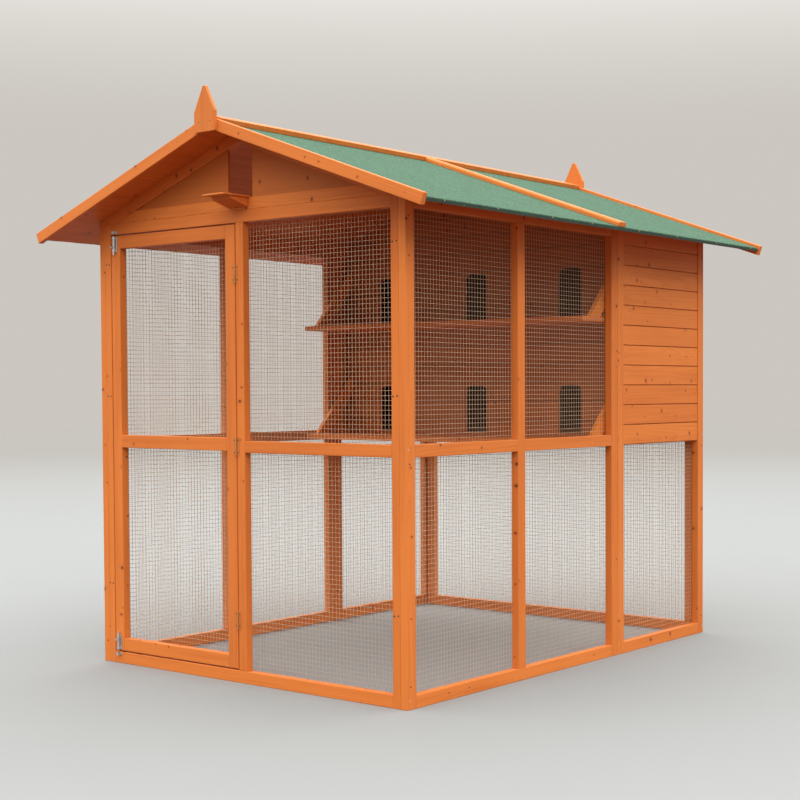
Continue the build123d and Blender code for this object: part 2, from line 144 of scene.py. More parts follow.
class Finish:
    """A material with its shader, made node by node."""

    def __init__(self, name, **constants):
        self.material = bpy.data.materials.new(name)
        self.material.use_nodes = True
        self.tree = self.material.node_tree
        self.shader = self.tree.nodes["Principled BSDF"]
        self.wear(**constants)

    def wear(self, **sockets):
        """Feeds the shader's sockets, those that stay the same and those that change over the surface."""
        for socket, item in sockets.items():
            feed(self.tree, self.shader.inputs[socket.replace("_", " ")], item)
        return self.material

    def node(self, kind, settings=None, sockets=None, output=0):
        """Adds a node: its settings first, then its sockets; gives the named output."""
        made = self.tree.nodes.new("ShaderNode" + kind)
        for name, value in (settings or {}).items():
            setattr(made, name, value)
        for place, item in (sockets or {}).items():
            feed(self.tree, made.inputs[place], item)
        return Signal(made.outputs[output])

    def coordinates(self, output="Object"):
        return self.node("TexCoord", output=output)

    def vector(self, x, y, z):
        return self.node("CombineXYZ", sockets={"X": x, "Y": y, "Z": z})

    def axes(self, source):
        parts = self.node("SeparateXYZ", sockets={"Vector": source})
        return [parts.beside(number) for number in range(3)]

    def mix(self, factor, first, second):
        """Two colours mixed by a value."""
        settings = {"data_type": "RGBA", "clamp_factor": True}
        return self.node("Mix", settings, {0: factor, 6: first, 7: second}, output=2)

    def blend(self, factor, first, second):
        """Two values mixed by a value."""
        return self.node("Mix", {"clamp_factor": True}, {0: factor, 2: first, 3: second})

    def step(self, value, low, high):
        """A smooth rise from 0 at low to 1 at high."""
        settings = {"interpolation_type": "SMOOTHSTEP"}
        return self.node("MapRange", settings, {0: value, 1: low, 2: high})

    def cloud(self, place, scale, detail=2.0, roughness=0.5):
        """Noise from 0 to 1."""
        sockets = {"Vector": place, "Scale": scale, "Detail": detail, "Roughness": roughness}
        return self.node("TexNoise", sockets=sockets)

    def cells(self, place, scale=1.0, output="Distance", flat=False):
        """Cells with a random colour each and the distance from their middles."""
        settings = {"voronoi_dimensions": "2D"} if flat else {}
        return self.node("TexVoronoi", settings, {"Vector": place, "Scale": scale}, output)

    def bump(self, height, strength, distance):
        return self.node("Bump", sockets={"Height": height, "Strength": strength, "Distance": distance})


class Surround(Finish):
    """The light all round the stage, made with the same nodes."""

    def __init__(self, name):
        self.material = bpy.data.worlds.new(name)
        self.material.use_nodes = True
        self.tree = self.material.node_tree
        self.shader = self.tree.nodes["Background"]


class TimberSettings(bpy.types.PropertyGroup):
    """Stain and figure of the softwood."""

    stain: ColourProperty(
        name="Stain", description="Orange stain on the light wood", default=(0.745, 0.215, 0.041))
    streak: ColourProperty(
        name="Streak", description="Darker stain in the late wood", default=(0.51, 0.116, 0.019))
    knot: ColourProperty(name="Knot", description="Heart of a knot", default=(0.085, 0.022, 0.009))
    ring: LengthProperty(name="Ring", description="Width of a year ring", default=4.5 * MM)
    knot_cell: LengthProperty(
        name="Knot spacing", description="Cell that may hold one knot", default=0.105)
    edge: LengthProperty(name="Edge", description="Rounding of the planed edges", default=2.0 * MM)


class BoardSettings(bpy.types.PropertyGroup):
    """Cladding of the nest box."""

    width: LengthProperty(
        name="Board", description="Cover width of a cladding board", default=78.2 * MM)
    slit: LengthProperty(name="Slit", description="Open joint between two boards", default=2.8 * MM)
    chamfer: LengthProperty(
        name="Chamfer", description="Chamfer along a board's lower edge", default=1.2 * MM)
    hole_width: LengthProperty(
        name="Hole width", description="Clear width of a nest hole", default=0.114)
    hole_height: LengthProperty(
        name="Hole height", description="Clear height of a nest hole", default=0.196)
    hole_corner: LengthProperty(
        name="Hole corner", description="Radius of a nest hole's upper corners", default=0.024)
    sill: LengthProperty(
        name="Sill", description="Sill of the lower holes above the floor", default=0.861)
    row_pitch: LengthProperty(
        name="Row pitch", description="From one row of holes to the next", default=0.474)
    column_pitch: LengthProperty(
        name="Column pitch", description="From one hole to the next", default=0.481)


class WireSettings(bpy.types.PropertyGroup):
    """Welded wire mesh."""

    cell: LengthProperty(name="Cell", description="Pitch of the wires", default=16 * MM)
    gauge: LengthProperty(name="Wire", description="Wire diameter", default=1.2 * MM)
    solid_pitch: LengthProperty(
        name="Solid pitch", description="Pitch of the wires in the solids", default=48 * MM)
    wave: LengthProperty(
        name="Wave", description="How far the sheet strays between its staples", default=1.1 * MM)
    sides: IntProperty(name="Sides", description="Sides of a wire", min=3, default=6)
    # The tan in this zinc colour is painted reflection of the orange wood round the wires; the real
    # metallic reflection is kept low.
    zinc: ColourProperty(
        name="Zinc", description="Weathered zinc of the wire", default=(0.645, 0.455, 0.31))


class FeltSettings(bpy.types.PropertyGroup):
    """Mineral felt of the roof."""

    granule: LengthProperty(
        name="Granule", description="Size of a mineral granule", default=2.4 * MM)
    light: ColourProperty(
        name="Light", description="Pale granules", default=(0.080, 0.184, 0.100))
    dark: ColourProperty(name="Dark", description="Dark granules", default=(0.022, 0.064, 0.034))
    joint: LengthProperty(
        name="Sheet joint", description="Where the two lengths of felt meet, from the front wall",
        default=1.002)
    lip: LengthProperty(name="Lip", description="Felt turned down over the eave", default=14 * MM)
    bitumen: ColourProperty(
        name="Bitumen", description="Cut edge and back of the felt", default=(0.048, 0.076, 0.060))


class FixingSettings(bpy.types.PropertyGroup):
    """Screws, nails and staples."""

    screw: LengthProperty(name="Screw", description="Screw head diameter", default=6.5 * MM)
    nail: LengthProperty(name="Nail", description="Board nail head diameter", default=2.6 * MM)
    clout: LengthProperty(name="Clout", description="Felt nail head diameter", default=6 * MM)
    staple: LengthProperty(name="Staple", description="Width of a staple", default=9 * MM)
    staple_pitch: LengthProperty(
        name="Staple spacing", description="From one staple to the next", default=0.144)
    steel: ColourProperty(name="Steel", description="Zinc plated steel", default=(0.60, 0.61, 0.62))
    bronze: ColourProperty(
        name="Bronze", description="Dull passivated screws and nails", default=(0.085, 0.040, 0.020))


class StageSettings(bpy.types.PropertyGroup):
    """Floor, light and camera."""

    floor: ColourProperty(name="Floor", description="Plain pale floor", default=(0.285, 0.285, 0.28))
    # Painted shade: far out the floor darkens to this colour, so that it fades into the dim horizon light.
    far_floor_painted_shade: ColourProperty(
        name="Far floor", description="Floor where it meets the horizon", default=(0.223, 0.209, 0.194))
    zenith: GlowProperty(
        name="Overhead", description="Light from straight above", default=(3.00, 3.08, 3.08))
    dome: GlowProperty(
        name="Dome", description="Light from halfway up", default=(2.74, 2.80, 2.78))
    horizon: GlowProperty(
        name="Horizon", description="Light from the sides", default=(0.60, 0.57, 0.53))
    ground: GlowProperty(
        name="Ground", description="Warm light from below", default=(0.215, 0.100, 0.070))
    key_strength: FloatProperty(name="Key", description="Power of the large soft light", default=240.0)
    key_tint: ColourProperty(
        name="Key tint", description="Colour of the large soft light", default=(1, 0.97, 0.93))
    key_place: PlaceProperty(
        name="Key place", description="Middle of the large soft light", default=(7.4, -7.4, 7.6))
    key_size: LengthProperty(
        name="Key size", description="Width of the large soft light", default=6.0)
    camera: PlaceProperty(
        name="Camera", description="Place of the camera", default=(3.8767, -4.6423, 1.0409))
    turn: AngleProperty(
        name="Turn", description="Camera's turn to the left", default=math.radians(37.514))
    pitch: AngleProperty(name="Pitch", description="Camera's tilt", default=math.radians(-1.981))
    roll: AngleProperty(name="Roll", description="Camera's roll", default=math.radians(-0.221))
    lens: FloatProperty(name="Lens", description="Focal length on a 36 mm sensor", default=67.1)
    shift: FloatVectorProperty(
        name="Shift", description="Shift of the picture, in widths of it", size=2, default=(-0.10, 0.0512))


class DovecoteSettings(bpy.types.PropertyGroup):
    """All sizes and colours of the dressing."""

    timber: PointerProperty(type=TimberSettings)
    boards: PointerProperty(type=BoardSettings)
    wire: PointerProperty(type=WireSettings)
    felt: PointerProperty(type=FeltSettings)
    fixings: PointerProperty(type=FixingSettings)
    stage: PointerProperty(type=StageSettings)


def dressing():
    return bpy.context.scene.dovecote


def dimmed(colour, share):
    return [channel * share for channel in colour]


def grain_x(paint, x, y, z):
    """Coordinates along the grain, then across it, where it runs from side to side."""
    return x, z, y


def grain_y(paint, x, y, z):
    """Grain from front to rear."""
    return y, z, x


def grain_z(paint, x, y, z):
    """Upright grain."""
    return z, x, y


def grain_slope(paint, x, y, z):
    """Grain down both roof slopes."""
    across = abs(x)
    run = across * COSINE - z * SINE
    rise = across * SINE + z * COSINE
    return run, rise, y


def chosen(paint, mask, first, second):
    """Coordinates of the first kind where the mask is 0 and of the second where it is 1."""
    return [paint.blend(mask, one, other) for one, other in zip(first, second)]


def grain_gable(paint, x, y, z):
    """Level rail between two sloping rails."""
    peak = z + abs(x) * SLOPE
    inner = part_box("rear_gable_panel")[1].z
    return chosen(paint, peak > inner, grain_x(paint, x, y, z), grain_slope(paint, x, y, z))


def grain_battens(paint, x, y, z):
    """Ridge battens along the roof, joint battens down its slopes."""
    slope = grain_slope(paint, x, y, z)
    ridge_batten = 38.1 * MM * COSINE + 6 * MM
    return chosen(paint, abs(x) > ridge_batten, grain_y(paint, x, y, z), slope)


def island(paint):
    """A random number for every separate board."""
    return paint.node("NewGeometry", output="Random Per Island")


def row_of(base, pitch):
    """A random number for every row of boards, also where holes cut the row."""
    def pick(paint):
        height = paint.axes(paint.coordinates())[2]
        row = paint.node("Math", {"operation": "FLOOR"}, {0: (height - base) / pitch})
        return paint.node("TexWhiteNoise", {"noise_dimensions": "1D"}, {"W": row}, output="Value")
    return pick


def small_knots(paint, along, side, end_grain, share, spacing):
    """Masks of the knots' hearts, halos and eyes, in a share of the cells and not on end grain."""
    cell = 1.0 / spacing
    spots = paint.cells(paint.vector(along * cell * 1.35, side * cell, 0.0), flat=True)
    facts = paint.node("SeparateColor", sockets={"Color": spots.beside("Color")})
    size = facts.beside(0)
    present = (facts.beside(1) < share) * (end_grain < 0.5)
    reach = spots / (0.027 + size * size * 0.046)
    heart = paint.step(reach, 1.25, 0.65) * present
    halo = paint.step(reach, 3.4, 0.8) * present
    eye = paint.step(reach, 0.55, 0.15) * heart
    return heart, halo, eye


def stained_timber(name, grain, board=island, shade=1.0, blue=1.0, knots=0.38, figure=1.0,
                   painted_shade_behind=None):
    """Planed softwood under an orange stain, with year rings, streaks and small knots.

    board gives a number for each board, shade and blue scale the stain and its blue, knots is the share
    of cells with a knot, figure is the strength of the grain, and behind painted_shade_behind in Y the
    wood is painted nearly black: painted shade for the closed inside of the nest box.
    """
    look = dressing().timber
    paint = Finish(name, Specular_IOR_Level=0.22)
    x, y, z = paint.axes(paint.coordinates())
    normal = paint.axes(paint.coordinates("Normal"))
    own = board(paint)
    place = grain(paint, x, y, z)
    face = [abs(part) for part in grain(paint, *normal)]
    g, a, b = [part + own * shift for part, shift in zip(place, (11.3, 4.7, 7.9))]

    def drawn_out(along, across, detail, roughness=0.5):
        """Noise whose spots are drawn out along the grain."""
        return paint.cloud(paint.vector(g * along, a * across, b * across), 1.0, detail, roughness)

    sway = drawn_out(0.8, 5.0, 1.0)
    pith = paint.cells(paint.vector(a * 5.0 + sway * 0.55, b * 5.0 + sway * 0.35, 0.0), flat=True)
    side = paint.blend(face[1] > 0.5, a, b)
    heart, halo, eye = small_knots(paint, g, side, face[0], knots, look.knot_cell)

    year = pith * (0.2 / look.ring) + halo * 1.6 + sway * 1.5
    late = paint.node("Math", {"operation": "FRACT"}, {0: year}) ** 2.2
    streaks = drawn_out(1.3, 34.0, 3.0, 0.6)
    fibres = drawn_out(7.0, 210.0, 2.0, 0.55)
    patches = drawn_out(2.2, 6.0, 2.0)
    dark = (late * (0.24 * figure) + paint.step(streaks, 0.42, 0.72) * (0.30 * figure)
            + (fibres - 0.5) * (0.26 * figure) + (patches - 0.5) * 0.55 + (own - 0.5) * 0.34 + 0.14)

    shares = (shade, shade, shade * blue)
    stain = [channel * share for channel, share in zip(look.stain, shares)]
    streak = [channel * share for channel, share in zip(look.streak, shares)]
    colour = paint.mix(dark, stain, streak)
    colour = paint.mix(halo * 0.55, colour, streak)
    colour = paint.mix(heart * 0.92, colour, look.knot)
    colour = paint.mix(eye * 0.35, colour, streak)
    # Painted shade: behind the nest front the wood is painted nearly black, for the dark inside of the
    # nest box.
    if painted_shade_behind is not None:
        colour = paint.mix(paint.step(y, painted_shade_behind, painted_shade_behind + MM), colour, dimmed(streak, 0.16))
    rough = 0.46 + fibres * 0.16 + late * 0.06
    height = fibres * 0.5 + streaks * 0.3 - late * 0.25 - heart * 0.5
    return paint.wear(Base_Color=colour, Roughness=rough, Normal=paint.bump(height, 0.5, 0.5 * MM))


def galvanised(name, colour, roughness, metallic, gloss=0.5):
    """Zinc with faint spangle and duller patches."""
    paint = Finish(name, Specular_IOR_Level=gloss)
    place = paint.coordinates()
    spangle = paint.cells(place, 260.0, "Color")
    patch = paint.cloud(place, 35.0)
    tone = paint.node("RGBToBW", sockets={"Color": spangle})
    base = paint.mix(tone * 0.35 + patch * 0.3, colour, dimmed(colour, 0.62))
    rough = roughness + patch * 0.18 - tone * 0.06
    metal = metallic - patch * 0.2
    height = patch + tone * 0.2
    return paint.wear(Base_Color=base, Roughness=rough, Metallic=metal,
                      Normal=paint.bump(height, 0.25, 0.2 * MM))


def hinge_plate(name):
    """Yellow passivated steel, dulled and partly stained like the wood beside it."""
    bright, dull, stained = (0.66, 0.25, 0.065), (0.46, 0.15, 0.035), (0.62, 0.18, 0.04)
    paint = Finish(name)
    place = paint.coordinates()
    patch = paint.cloud(place, 90.0, 3.0, 0.6)
    smear = paint.step(paint.cloud(place, 28.0), 0.42, 0.66)
    base = paint.mix(patch, bright, dull)
    base = paint.mix(smear * 0.6, base, stained)
    return paint.wear(Base_Color=base, Roughness=0.40 + patch * 0.25, Metallic=0.5 - smear * 0.3,
                      Normal=paint.bump(patch, 0.2, 0.2 * MM))


def mineral_felt(name):
    """Green granules bedded in bitumen; the turned-down lip is dark in a ragged band, partly bare bitumen
    at the cut edge and partly painted shade under the eave.
    """
    look = dressing().felt
    paint = Finish(name, Specular_IOR_Level=0.25)
    place = paint.coordinates()
    grit = paint.cells(place, 1.0 / look.granule)
    parts = paint.node("SeparateColor", sockets={"Color": grit.beside("Color")})
    tint, bare = parts.beside(0), parts.beside(1)
    coarse = paint.cloud(place, 105.0, 3.0, 0.75)
    patch = paint.cloud(place, 9.0, 3.0, 0.6)
    tone = tint * 0.5 + paint.step(coarse, 0.38, 0.62) * 0.62 + (patch - 0.5) * 0.35
    colour = paint.mix(tone, look.dark, look.light)
    gap = paint.step(grit, 0.40, 0.62) * paint.step(coarse, 0.60, 0.45)
    colour = paint.mix(gap * 0.75 + (bare > 0.965) * 0.8, colour, look.bitumen)
    x, y, z = paint.axes(place)
    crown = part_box("right_roof_felt")[1].z * COSINE
    drop = crown - (abs(x) * SINE + z * COSINE)
    # The turned-down lip is painted dark: partly bare bitumen at the cut edge, partly painted shade under
    # the eave.
    ragged = drop + (paint.cloud(place, 150.0, 2.0, 0.7) - 0.5) * (11.0 * MM)
    lip_bitumen_and_shade = paint.mix(paint.step(coarse, 0.58, 0.66), look.bitumen, look.light)
    colour = paint.mix(paint.step(ragged, 2.4 * MM, 3.6 * MM), colour, lip_bitumen_and_shade)
    height = (1.0 - grit) * 0.8 + coarse * 0.5
    return paint.wear(Base_Color=colour, Roughness=0.86 + tint * 0.1,
                      Normal=paint.bump(height, 0.75, 1.0 * MM))


def bitumen_edge(name):
    """Torn and cut felt edge, dark with a few granules."""
    look = dressing().felt
    paint = Finish(name, Specular_IOR_Level=0.3)
    grit = paint.cloud(paint.coordinates(), 420.0, 2.0, 0.7)
    colour = paint.mix(paint.step(grit, 0.5, 0.72), look.bitumen, look.dark)
    return paint.wear(Base_Color=colour, Roughness=0.7 + grit * 0.2,
                      Normal=paint.bump(grit, 0.6, 0.6 * MM))


def finished(name, maker, *facts, **more):
    """One material of each name, made on its first use."""
    return bpy.data.materials.get(name) or maker(name, *facts, **more)


NEST_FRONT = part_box("nest_front_wall")
TIMBERS = {
    "x": (grain_x, {}),
    "y": (grain_y, {}),
    "z": (grain_z, {}),
    "slope": (grain_slope, {}),
    "gable": (grain_gable, {}),
    "battens": (grain_battens, {}),
    "finials": (grain_z, {"shade": 0.92}),
    "braces": (grain_y, {"blue": 0.3}),
    # Nest floors: the stain at 0.4 is painted shade for the closed inside of the nest box.
    "floors": (grain_x, {"shade": 0.4}),
    "panel": (grain_x, {"shade": 0.76, "figure": 0.45}),
    "boards": (grain_y, {"knots": 0.58}),
    "boards_across": (grain_x, {"knots": 0.58}),
    # Backs of the cladding: painted shade, nearly black behind the nest front.
    "inner": (grain_y, {"painted_shade_behind": NEST_FRONT[1].y}),
    "inner_across": (grain_x, {"painted_shade_behind": NEST_FRONT[1].y}),
}


def timber(kind):
    """The stained timber of a kind of piece."""
    grain, facts = TIMBERS[kind]
    return finished("timber_" + kind, stained_timber, grain, **facts)


def steel():
    return finished("plated_steel", galvanised, dressing().fixings.steel, 0.36, 0.9)


def bronze():
    return finished("dull_screws", galvanised, dressing().fixings.bronze, 0.42, 0.6)


# Wire, staples and felt nails: zinc tinted tan with painted reflection of the orange wood.
def wire_zinc_painted_reflection():
    return finished("dull_zinc", galvanised, dressing().wire.zinc, 0.6, 0.1, 0.2)


def new_piece(name, mesh, materials, body="house", replaces=()):
    """Puts a mesh in the scene as a piece that rides on a body."""
    piece = bpy.data.objects.new(name, mesh)
    bpy.context.scene.collection.objects.link(piece)
    for material in materials:
        mesh.materials.append(material)
    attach(piece, body)
    if replaces:
        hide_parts(*replaces)


def closed_mesh(name, bm, smooth=False):
    """Writes a bmesh out with its faces turned outward."""
    bmesh.ops.recalc_face_normals(bm, faces=bm.faces)
    for face in bm.faces:
        face.smooth = smooth
    mesh = bpy.data.meshes.new(name)
    bm.to_mesh(mesh)
    bm.free()
    return mesh


def flat_faces():
    """Joins a solid's faces along their edges and drops the shading that came with them."""
    group = bpy.data.node_groups.get("flat_faces")
    if group:
        return group
    group = bpy.data.node_groups.new("flat_faces", "GeometryNodeTree")
    for way in ("INPUT", "OUTPUT"):
        group.interface.new_socket("Geometry", in_out=way, socket_type="NodeSocketGeometry")
    merge = group.nodes.new("GeometryNodeMergeByDistance")
    merge.inputs["Distance"].default_value = 0.02 * MM
    drop = group.nodes.new("GeometryNodeRemoveAttribute")
    drop.inputs["Name"].default_value = "custom_normal"
    flat = group.nodes.new("GeometryNodeSetShadeSmooth")
    flat.inputs["Shade Smooth"].default_value = False
    chain = [group.nodes.new("NodeGroupInput"), merge, drop, flat, group.nodes.new("NodeGroupOutput")]
    for near, far in zip(chain, chain[1:]):
        group.links.new(near.outputs[0], far.inputs[0])
    return group


def dress_node(name, material, edge=0.0):
    """Gives a solid of the frame its material, and rounds its planed edges."""
    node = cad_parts[name]
    node.material_slots[0].material = material
    if edge:
        node.modifiers.new("flat_faces", "NODES").node_group = flat_faces()
        bevel = node.modifiers.new("rounded_edges", "BEVEL")
        bevel.width = edge
        bevel.segments = 2
        bevel.limit_method = "ANGLE"
        bevel.angle_limit = math.radians(30)


def bridge(bm, near, far):
    """Faces all round from one closed loop of corners to the next."""
    count = len(near)
    for number in range(count):
        after = (number + 1) % count
        bm.faces.new((near[number], near[after], far[after], far[number]))


def extrude_outline(bm, outline, place, start, end):
    """A closed prism: outline is a list of pairs, place turns a pair and a length into a point."""
    first, last = [[bm.verts.new(place(u, v, length)) for u, v in outline] for length in (start, end)]
    bm.faces.new(first)
    bm.faces.new(last[::-1])
    bridge(bm, first, last)


def spokes_round(axis, helper, radius, sides):
    """Vectors from an axis to the corners of a round section."""
    first = axis.cross(helper).normalized()
    second = axis.cross(first)
    turns = [2 * math.pi * number / sides for number in range(sides)]
    return [(math.cos(turn) * first + math.sin(turn) * second) * radius for turn in turns]


def strand(bm, points, radius, sides):
    """A closed round wire along a list of points."""
    along = (points[-1] - points[0]).normalized()
    spokes = spokes_round(along, Vector((0.31, 0.87, 0.38)), radius, sides)
    loops = [[bm.verts.new(point + spoke) for spoke in spokes] for point in points]
    for near, far in zip(loops, loops[1:]):
        bridge(bm, near, far)
    bm.faces.new(loops[0][::-1])
    bm.faces.new(loops[-1])


def wall_point(axis, off, along, z):
    """A point from its place on the axis that a wall faces, its place along the wall and its height."""
    return Vector((along, off, z) if axis else (off, along, z))


def spread(start, end, count):
    """Equal steps from start to end."""
    return [start + (end - start) * number / count for number in range(count + 1)]


class DOVECOTE_OT_timber_frame(bpy.types.Operator):
    """Stain the posts, rails, shelves, roof timbers and door of the frame"""

    bl_idname = "dovecote.timber_frame"
    bl_label = "Timber frame"

    ROUNDED = {
        "z": ("front_stiles", "rear_stiles", "left_stiles", "right_stiles", "door_stiles"),
        "finials": ("front_finial", "rear_finial"),
        "x": ("front_rails", "rear_rails", "door_rails", "nest_shelves", "landing_board",
              "landing_bracket"),
        "y": ("left_rails", "right_rails"),
        "braces": ("shelf_braces",),
        "slope": ("barge_boards",),
        "gable": ("gable_frames",),
        "battens": ("roof_battens",),
    }
    SAWN = {"floors": ("nest_floors",), "y": ("left_roof_boards", "right_roof_boards"),
            "panel": ("front_gable_panels", "rear_gable_panel")}

    def execute(self, context):
        for kinds, edge in ((self.ROUNDED, dressing().timber.edge), (self.SAWN, 0.0)):
            for kind, names in kinds.items():
                for name in names:
                    dress_node(name, timber(kind), edge)
        return {"FINISHED"}


class DOVECOTE_OT_wire_mesh(bpy.types.Operator):
    """Weave the full welded mesh over every sheet of the frame"""

    bl_idname = "dovecote.wire_mesh"
    bl_label = "Wire mesh"

    SHEETS = {
        "front_mesh": ("wire_front_bay", "house", 0, 1),
        "door_mesh": ("wire_door", "door", 0, 1),
        "rear_mesh": ("wire_rear", "house", 0, -1),
        "left_run_mesh": ("wire_left_run", "house", 1, 1),
        "right_run_mesh": ("wire_right_run", "house", 1, -1),
        "left_nest_mesh": ("wire_left_nest", "house", 1, 1),
        "right_nest_mesh": ("wire_right_nest", "house", 1, -1),
    }
    # A wire of the solids, the margin in which staples hold a sheet, and the length of a wire's pieces.
    SOLID_WIRE = 1.2 * MM
    HELD = 30 * MM
    STEP = 56 * MM
    WAVE_SEED = 7

    def places(self, low, high, look):
        """Middles of the real wires, with those of the solids among them."""
        count = max(1, int((high - low - self.SOLID_WIRE) // look.solid_pitch))
        first = (low + high - count * look.solid_pitch) / 2
        while first - look.cell > low + look.gauge:
            first -= look.cell
        found = []
        while first < high - look.gauge:
            found.append(first)
            first += look.cell
        return found

    def sheet(self, look, node, name, body, along, inward):
        """One sheet: uprights against the timber, level wires welded inside them."""
        low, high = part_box(node)
        across = 1 - along
        face = low[across] if inward > 0 else high[across]
        radius = look.gauge / 2
        seed = Vector((low.x * 3.1, low.y * 2.3, low.z))

        def point(a, z, depth):
            """A point of a wire, which strays less near the staples."""
            spot = Vector((a * 2.6, z * 2.6, 0)) + seed
            drift = noise.noise_vector(spot) * look.wave + noise.noise_vector(spot * 4.3) * look.wave * 0.3
            inset = min(a - low[along], high[along] - a, z - low.z, high.z - z)
            drift = drift * max(0.0, min(1.0, inset / self.HELD))
            off = face + inward * (depth + abs(drift.y) * 0.8)
            return wall_point(across, off, a + drift.x, z + drift.z)

        def steps(start, end):
            return spread(start, end, max(2, round((end - start) / self.STEP)))

        bm = bmesh.new()
        for a in self.places(low[along], high[along], look):
            strand(bm, [point(a, z, radius) for z in steps(low.z, high.z)], radius, look.sides)
        for z in self.places(low.z, high.z, look):
            line = [point(a, z, radius * 2.9) for a in steps(low[along], high[along])]
            strand(bm, line, radius, look.sides)
        mesh = closed_mesh(name, bm, smooth=True)
        new_piece(name, mesh, [wire_zinc_painted_reflection()], body, [node])

    def execute(self, context):
        noise.seed_set(self.WAVE_SEED)
        for node, (name, body, along, inward) in self.SHEETS.items():
            self.sheet(dressing().wire, node, name, body, along, inward)
        return {"FINISHED"}


def lapped_rows(look, low, high):
    """Lower and upper edges of the boards from low to high, the last one cut to fit."""
    sliver = look.width * 0.2
    rows = []
    bottom = low
    while bottom < high - sliver:
        top = bottom + look.width
        if high - top < sliver:
            top = high
        rows.append((bottom, top))
        bottom = top
    return rows


def board_outline(look, bottom, top, depth, last, fall):
    """Section of a board: depth out from the back, with a slit and a chamfer under it."""
    lip = 0 if last else 0.6 * MM
    return [
        (0, bottom),
        (depth * 0.2, bottom),
        (depth * 0.2, bottom + look.slit),
        (depth - look.chamfer, bottom + look.slit),
        (depth, bottom + look.slit + look.chamfer),
        (depth, top - lip),
        (depth - lip, top),
        (0, top + (fall if last else 0.0)),
    ]


def boarded_wall(look, node, axis, out, inset=0.0, fall=0.0):
    """Lapped boards that face out along an axis, the top one falling to the outside."""
    low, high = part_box(node)
    along = 1 - axis
    depth = high[axis] - low[axis]
    back = low[axis] if out > 0 else high[axis]

    def place(proud, z, a):
        return wall_point(axis, back + out * proud, a, z)

    bm = bmesh.new()
    rows = lapped_rows(look, low.z, high.z - fall)
    for bottom, top in rows:
        outline = board_outline(look, bottom, top, depth, top == rows[-1][1], fall)
        extrude_outline(bm, outline, place, low[along] + inset, high[along] - inset)
    return bm


class DOVECOTE_OT_nest_cladding(bpy.types.Operator):
    """Board the sides and the rear of the nest box"""

    bl_idname = "dovecote.nest_cladding"
    bl_label = "Nest cladding"

    # Between a board's end and the stile beside it.
    END_GAP = 0.4 * MM

    def clad(self, node, name, axis, out, kinds, fall=0.0):
        """One wall of boards, whose backs get the second kind of timber, painted nearly black behind the
        nest front as painted shade.
        """
        mesh = closed_mesh(name, boarded_wall(dressing().boards, node, axis, out, self.END_GAP, fall))
        new_piece(name, mesh, [timber(kind) for kind in kinds], "house", [node])
        for face in mesh.polygons:
            face.material_index = 1 if -out * face.normal[axis] > 0.9 else 0

    def execute(self, context):
        for side, word in SIDES:
            low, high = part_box(word + "_nest_wall")
            fall = (high.x - low.x) * SLOPE
            self.clad(word + "_nest_wall", word + "_cladding", 0, side, ("boards", "inner"), fall)
        self.clad("rear_nest_wall", "rear_cladding", 1, 1, ("boards_across", "inner_across"))
        return {"FINISHED"}


class DOVECOTE_OT_nest_front(bpy.types.Operator):
    """Board the front of the nest box and cut its six entrance holes"""

    bl_idname = "dovecote.nest_front"
    bl_label = "Nest front"

    ROWS = 2
    COLUMNS = 3
    CORNER_STEPS = 9
    # How far the cutting solids reach in front of and behind the boards, beside them and above them.
    THROUGH = 20 * MM
    BESIDE = 50 * MM
    ABOVE = 0.2

    def hole(self, look, column, row):
        """Outline of one hole in X and Z."""
        middle = (column - 1) * look.column_pitch
        sill = look.sill + row * look.row_pitch
        half = look.hole_width / 2
        radius = look.hole_corner
        spring = sill + look.hole_height - radius
        points = [(middle - half, sill), (middle + half, sill)]
        turns = spread(0.0, math.pi / 2, self.CORNER_STEPS)
        for side, corner in ((1, turns), (-1, turns[::-1])):
            for turn in corner:
                x = middle + side * (half - radius + radius * math.cos(turn))
                points.append((x, spring + radius * math.sin(turn)))
        return points

    def cutter(self, look):
        """Solids of the holes and of what lies over the two slopes of the gable."""
        low, high = NEST_FRONT
        places = product(range(self.ROWS), range(self.COLUMNS))
        outlines = [self.hole(look, column, row) for row, column in places]
        eave = high.z - (high.x - low.x) / 2 * SLOPE
        for side, word in SIDES:
            outer = side * (high.x + self.BESIDE)
            top = high.z + self.ABOVE
            outlines.append([(outer, eave - self.BESIDE * SLOPE), (outer, top), (0, top), (0, high.z)])
        bm = bmesh.new()
        for outline in outlines:
            start, end = low.y - self.THROUGH, high.y + self.THROUGH
            extrude_outline(bm, outline, lambda x, z, y: (x, y, z), start, end)
        return bm

    def execute(self, context):
        look = dressing().boards
        shapes = {"nest_front_blank": boarded_wall(look, "nest_front_wall", 1, -1),
                  "nest_front_cutter": self.cutter(look)}
        blank, cutter = [bpy.data.objects.new(name, closed_mesh(name, bm)) for name, bm in shapes.items()]
        for spare in (blank, cutter):
            context.scene.collection.objects.link(spare)
        cut = blank.modifiers.new("holes", "BOOLEAN")
        cut.operation = "DIFFERENCE"
        cut.solver = "EXACT"
        cut.use_self = True
        cut.object = cutter
        context.view_layer.update()
        shaped = blank.evaluated_get(context.evaluated_depsgraph_get())
        mesh = bpy.data.meshes.new_from_object(shaped)
        mesh.name = "nest_front_boards"
        if not mesh.polygons:
            raise RuntimeError("the nest front was cut away whole")
        for spare in (blank, cutter):
            bpy.data.objects.remove(spare)
        # The nest front's stain is dimmed to 0.62: painted shade, for boards that stand back under the
        # roof behind the mesh.
        wood = finished("timber_nest_front", stained_timber, grain_x,
                        board=row_of(NEST_FRONT[0].z, look.width), shade=0.62)
        mesh.materials.clear()
        new_piece("nest_front_boards", mesh, [wood], "house", ["nest_front_wall"])
        return {"FINISHED"}


